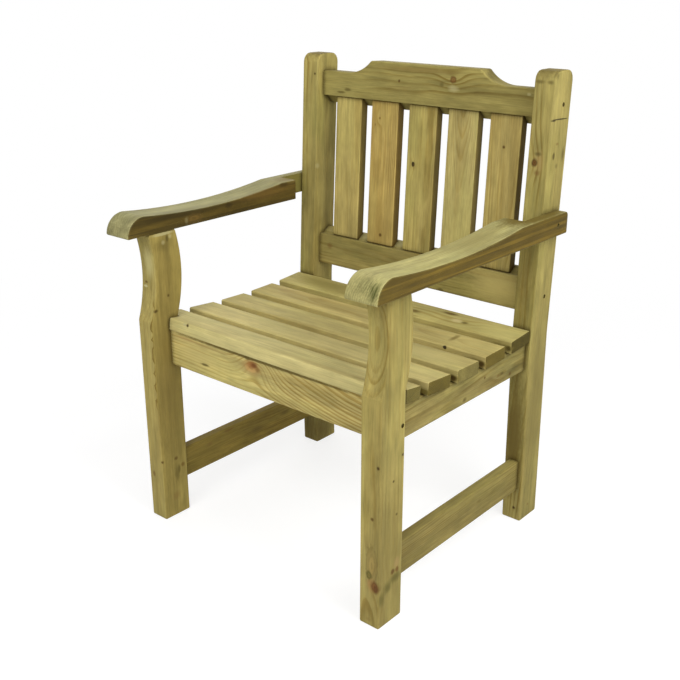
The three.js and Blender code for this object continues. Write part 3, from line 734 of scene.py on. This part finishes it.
wood("side_stretcher_left", BACK, ACROSS, (136, 118, 56), 11.0, pith=(0.04, -0.04), spots=[
    knot((-291, 211, 142), (20, 4, 5), RED_KNOT, 0.5, 0.6),
    knot((-291, 300, 110), (60, 18, 5), DARK_MARK_AND_SHADE, 0.5, 0.9),
    knot((-291, 400, 120), (26, 10, 6), DARK_MARK_AND_SHADE, 0.6, 0.9),
    knot((-291, 150, 128), (14, 8, 6), BROWN_MARK, 0.6, 0.9)])
wood("side_stretcher_right", BACK, ACROSS, (133, 120, 67), 12.0, pith=(0.06, -0.03), lean=(0.01, 0.01),
     spots=[knot((314, 352, 117), (14, 5, 5), DARK_MARK_AND_SHADE, 0.35, 0.8)])

# Seat: the sides of the front slat are as pale as its top
SEAT_SLATS = dict(contrast=0.75, deep=(0.74, 0.65, 0.5), blotch=(0.84, 0.88, 0.8), blotch_share=0.45,
                  side=(0.62, 0.56, 0.4), end_share=0.97)
# The other slats' sides are painted darker, as shade in the gaps between them
INNER_SLATS = dict(SEAT_SLATS, side_share=0.35)
wood("seat_slat_1", ACROSS, UP, (188, 176, 119), 21.0, pith=(0.03, -0.06), lean=(0.012, 0.01),
     ring_strength=0.4, end=(0.26, 0.24, 0.12), **SEAT_SLATS, spots=[
         knot((-230, 44, 466), (7, 5, 5), PALE_MARK, 0.9, 0.8),
         pin(-221, 44.5, 465.5, 3.8),
         knot((229, 56, 468), (30, 9, 6), BROWN_MARK, 0.25, 0.8)])
wood("seat_slat_2", ACROSS, UP, (184, 171, 114), 22.0, pith=(-0.05, -0.03), lean=(0.006, 0.01),
     ring_strength=0.4, end=(0.24, 0.21, 0.07), **INNER_SLATS, spots=[
         # Painted shade on the front face near the right end, down in the gap
         knot((306, 137, 438), (44, 22, 9), (96, 84, 30), 0.85, 0.6)])
wood("seat_slat_3", ACROSS, UP, (174, 161, 104), 23.0, pith=(0.07, -0.02), lean=(0.01, 0.0),
     ring_strength=0.4, end=(0.43, 0.42, 0.3), **INNER_SLATS, spots=[
         # Painted light over the right half
         knot((200, 270, 452), (130, 50, 8), (196, 184, 124), 0.55, 0.95),
         # The next two marks are painted shade on the front face near the right end, down in the gap
         knot((300, 233, 434), (40, 22, 9), (104, 90, 38), 0.8, 0.6),
         knot((313, 233, 434), (11, 8, 9), (62, 46, 14), 0.9, 0.7)])
wood("seat_slat_4", ACROSS, UP, (178, 163, 104), 24.0, pith=(0.01, -0.06), lean=(0.0, 0.03),
     ring_strength=0.45, end=(0.27, 0.24, 0.08), **INNER_SLATS, spots=[
         # Painted light over the right half
         knot((230, 365, 452), (120, 50, 8), (190, 176, 114), 0.35, 0.95),
         # The next two marks are painted shade on the front face near the right end, down in the gap
         knot((302, 329, 434), (36, 22, 9), (108, 94, 42), 0.8, 0.6),
         knot((314, 329, 433), (10, 8, 9), (68, 50, 16), 0.9, 0.7),
         knot((227, 330, 446), (5.5, 4, 5), HOLLOW, 0.95, 0.4, push=6),
         knot((219, 377, 451), (9, 28, 6), (112, 94, 44), 0.75, 0.8)])
wood("seat_slat_5", ACROSS, UP, (177, 165, 104), 25.0, pith=(-0.02, -0.05), lean=(0.02, 0.03),
     ring=0.005, ring_strength=0.8, end=(0.15, 0.13, 0.02), **INNER_SLATS, spots=[
         # Painted light over the right half
         knot((250, 462, 457), (110, 50, 8), (190, 178, 112), 0.35, 0.95),
         # The next two marks are painted shade on the front face near the right end, down in the gap
         knot((302, 424, 438), (36, 22, 9), (112, 98, 44), 0.7, 0.6),
         knot((317, 425, 438), (9, 8, 9), (76, 64, 24), 0.85, 0.7),
         # Painted shade over the left half
         knot((-190, 465, 456), (210, 60, 20), (126, 114, 58), 0.7, 0.95),
         knot((137, 480, 457), (28, 9, 6), (100, 80, 38), 0.95, 0.8),
         knot((170, 456, 456), (20, 12, 6), (204, 190, 138), 0.8, 0.8, push=6),
         knot((191, 455, 456), (12, 8, 6), (100, 84, 40), 0.85, 0.8),
         knot((62, 450, 455), (26, 13, 6), (100, 80, 36), 0.85, 0.9)])

# Back: the slats' sides are painted much darker than their faces, in part as shade in the narrow gaps between
# them
BACK_SLATS = dict(side=(0.28, 0.24, 0.15), side_share=0.9, end=(0.4, 0.36, 0.25))
wood("back_slat_1", UP_RAKE, FRONT_RAKE, (178, 161, 97), 31.0, pith=(0.05, -0.02), lean=(0.004, 0.0),
     **BACK_SLATS)
wood("back_slat_2", UP_RAKE, FRONT_RAKE, (180, 156, 90), 32.0, pith=(0.02, -0.04), lean=(0.01, 0.004),
     **BACK_SLATS, spots=[
         knot((-102, 532, 590), (70, 36, 12), BROWN_MARK, 0.35, 0.95),
         pin(-102, 533, 581, 4.2, KNOT),
         knot((-117, 546, 844), (4, 4, 5), RED_KNOT, 0.6, 0.6, push=3),
         knot((-129, 545, 829), (4, 3, 5), RED_KNOT, 0.4, 0.6)])
wood("back_slat_3", UP_RAKE, FRONT_RAKE, (168, 152, 90), 33.0, pith=(-0.02, -0.05), lean=(0.004, 0.01),
     blotch_share=0.6, **BACK_SLATS, spots=[
         knot((-19, 541, 754), (7.5, 5, 12), HOLLOW, 0.95, 0.45, push=5),
         knot((-16, 541, 750), (14, 7, 9), KNOT, 0.3, 0.8)])
wood("back_slat_4", UP_RAKE, FRONT_RAKE, (170, 156, 98), 34.0, pith=(0.0, -0.022), lean=(0.0, 0.05),
     ring=0.0032, ring_strength=0.5, blotch_share=0.55, **BACK_SLATS)
wood("back_slat_5", UP_RAKE, FRONT_RAKE, (172, 154, 92), 35.0, pith=(-0.015, -0.04), lean=(0.01, 0.01),
     **BACK_SLATS, spots=[
         pin(207, 544, 816, 3.4, KNOT),
         knot((222, 536, 652), (30, 14, 6), BROWN_MARK, 0.25, 0.8)])
wood("crest_rail", ACROSS, FRONT_RAKE, (137, 126, 71), 41.0, pith=(-0.02, -0.06), lean=(0.02, 0.0),
     ring=0.005, blotch=(1.1, 1.12, 1.1), spots=[
         knot((78, 542, 941), (10, 9, 14), RED_KNOT, 0.8, 0.4, push=9, rings=True),
         knot((80, 542, 923), (20, 10, 14), PALE_MARK, 0.5, 0.9),
         knot((50, 542, 929), (8, 7, 9), DARK_MARK_AND_SHADE, 0.6, 0.8),
         pin(-62, 541, 929, 3.2, KNOT),
         knot((-206, 540, 900), (14, 5, 8), DARK_MARK_AND_SHADE, 0.75, 0.7),
         knot((-225, 540, 893), (16, 4, 8), DARK_MARK_AND_SHADE, 0.75, 0.7),
         knot((259, 541, 926), (6, 4, 6), PALE_MARK, 0.4, 0.7),
         knot((-20, 545, 955), (150, 7, 14), BROWN_MARK, 0.5, 0.8),
         knot((-60, 541, 915), (60, 6, 14), BROWN_MARK, 0.25, 0.9)])
wood("lower_back_rail", ACROSS, FRONT_RAKE, (146, 133, 77), 42.0, pith=(0.03, -0.04), lean=(0.01, 0.02),
     ring=0.005, blotch_share=0.6, spots=[
         knot((-190, 520, 525), (26, 12, 8), RED_KNOT, 0.2, 0.9),
         knot((-247, 523, 531), (13, 11, 14), RED_KNOT, 0.55, 0.9),
         knot((79, 521, 489), (13, 8, 8), DARK_MARK_AND_SHADE, 0.75, 0.8),
         knot((242, 523, 524), (11, 4, 8), DARK_MARK_AND_SHADE, 0.6, 0.7),
         knot((-100, 545, 566), (260, 11, 24), PALE_MARK, 0.5, 0.8),
         # Painted light on the right end, where the arm's shadow falls
         knot((236, 520, 525), (120, 60, 24), (190, 174, 108), 0.8, 0.9)])

# Zinc: its colour and its stains on a screen, with scales in cycles per metre
ZINC = (128, 118, 78)
ZINC_STAIN = (70, 58, 34)
ZINC_METALLIC = 0.85
STAIN_SCALE = (700.0, 700.0, 700.0)
STAIN_SEED = 3.0
STAIN_MASK = (0.35, 0.7)
SCUFF_SCALE = (2600.0, 2600.0, 2600.0)
SCUFF_SEED = 5.0
SCUFF_ROUGHNESS = (0.3, 0.7, 0.35, 0.6)
SCUFF_BUMP = 0.3
SCUFF_RELIEF = 0.0002


def zinc():
    """A dull yellowed zinc plate."""
    material, net, shader = new_material("screw_zinc")
    point = net.coordinates("Object")
    stain = net.spread(net.noise(point, STAIN_SCALE, STAIN_SEED, detail=3.0), *STAIN_MASK)
    scuff = net.noise(point, SCUFF_SCALE, SCUFF_SEED)
    net.feed(shader.inputs["Base Color"], net.mix(stain, srgb(*ZINC), srgb(*ZINC_STAIN)))
    net.feed(shader.inputs["Roughness"], net.spread(scuff, *SCUFF_ROUGHNESS))
    net.feed(shader.inputs["Normal"], net.bump(scuff, SCUFF_BUMP, SCUFF_RELIEF))
    shader.inputs["Metallic"].default_value = ZINC_METALLIC
    return material


screw_zinc = zinc()
for name in nodes:
    if "screw" in name:
        dress(name, screw_zinc)

# Studio: greys and levels of light, how far from the middle the floor turns plain white, and half its width
WHITE = (1.0, 1.0, 1.0, 1.0)
BLACK = (0.0, 0.0, 0.0, 1.0)
FLOOR_GREY = (0.8, 0.8, 0.8, 1.0)
SHADOW_GREY = (0.34, 0.34, 0.34, 1.0)
NEAR_TO_FAR = (0.7, 2.2)
NEAR_GLOW = 0.74
FAR_GLOW = 1.0
FLOOR_HALF = 8.0
AMBIENT = 0.36


def seen_by_camera(net):
    """1 for a camera ray, also by way of a mirror or through glass, and 0 for other rays."""
    rays = net.add("ShaderNodeLightPath").outputs
    seen = net.math("ADD", rays["Is Camera Ray"], rays["Is Glossy Ray"], clamp=True)
    return net.math("ADD", seen, rays["Is Transmission Ray"], clamp=True)


def studio_floor():
    """A pale floor that shows white to the camera and keeps the soft shadow."""
    material = bpy.data.materials.new("studio_floor")
    net = emptied(material)
    matt = net.add("ShaderNodeBsdfDiffuse")
    matt.inputs["Color"].default_value = FLOOR_GREY
    far = net.spread(net.vector("LENGTH", net.coordinates("Object")), *NEAR_TO_FAR)
    shown = net.add("ShaderNodeBsdfDiffuse")
    net.feed(shown.inputs["Color"], net.mix(far, SHADOW_GREY, BLACK))
    glow = net.add("ShaderNodeEmission")
    glow.inputs["Color"].default_value = WHITE
    net.feed(glow.inputs["Strength"], net.spread(far, 0.0, 1.0, NEAR_GLOW, FAR_GLOW, smooth=False))
    both = net.add("ShaderNodeAddShader")
    net.feed(both.inputs[0], shown.outputs[0])
    net.feed(both.inputs[1], glow.outputs[0])
    choice = net.add("ShaderNodeMixShader")
    net.feed(choice.inputs[0], seen_by_camera(net))
    net.feed(choice.inputs[1], matt.outputs[0])
    net.feed(choice.inputs[2], both.outputs[0])
    net.feed(net.add("ShaderNodeOutputMaterial").inputs["Surface"], choice.outputs[0])
    return material


def studio_world():
    """White to the camera, and a weaker light from all round."""
    world = bpy.data.worlds.new("studio")
    net = emptied(world)
    sky = net.add("ShaderNodeBackground")
    sky.inputs["Color"].default_value = WHITE
    strength = net.spread(seen_by_camera(net), 0.0, 1.0, AMBIENT, 1.0, smooth=False)
    net.feed(sky.inputs["Strength"], strength)
    net.feed(net.add("ShaderNodeOutputWorld").inputs["Surface"], sky.outputs[0])
    return world


floor_mesh = bpy.data.meshes.new("floor")
floor_mesh.from_pydata(
    [(x * FLOOR_HALF, y * FLOOR_HALF, 0.0) for x, y in ((-1, -1), (1, -1), (1, 1), (-1, 1))],
    [], [(0, 1, 2, 3)])
floor = bpy.data.objects.new("floor", floor_mesh)
scene.collection.objects.link(floor)
floor_mesh.materials.append(studio_floor())
scene.world = studio_world()


def lamp(name, place, target, size, power):
    """A square area lamp turned to a target, with its size in metres and its power in watts."""
    light = bpy.data.lights.new(name, "AREA")
    light.shape = "SQUARE"
    light.size = size
    light.energy = power
    made = bpy.data.objects.new(name, light)
    made.location = place
    made.rotation_euler = (Vector(target) - Vector(place)).to_track_quat("-Z", "Y").to_euler()
    scene.collection.objects.link(made)


# Lamps round the chair, turned to its seat
SEAT = (0, 0, 0.45)
lamp("key_light", place=(0.5, -2.7, 2.4), target=SEAT, size=2.0, power=62)
lamp("side_light", place=(2.8, -0.9, 1.8), target=SEAT, size=2.0, power=21)
lamp("top_light", place=(1.8, 0.0, 2.1), target=(0.2, 0, 0.45), size=1.4, power=34)
lamp("back_light", place=(-2.4, 2.2, 1.6), target=SEAT, size=2.4, power=24)

# Camera, fitted to the photo: millimetres for the lens, metres for its place, degrees for its turn
SENSOR_WIDTH = 36.0
FOCAL_LENGTH = 52.23
CAMERA_PLACE = (1.26588, -1.48427, 1.16511)
CAMERA_TURN = (69.147, 0.0, 40.496)

camera_data = bpy.data.cameras.new("camera")
camera_data.sensor_width = SENSOR_WIDTH
camera_data.lens = FOCAL_LENGTH
camera = bpy.data.objects.new("camera", camera_data)
camera.location = CAMERA_PLACE
camera.rotation_euler = [math.radians(angle) for angle in CAMERA_TURN]
scene.collection.objects.link(camera)
scene.camera = camera
scene.view_settings.view_transform = "Standard"
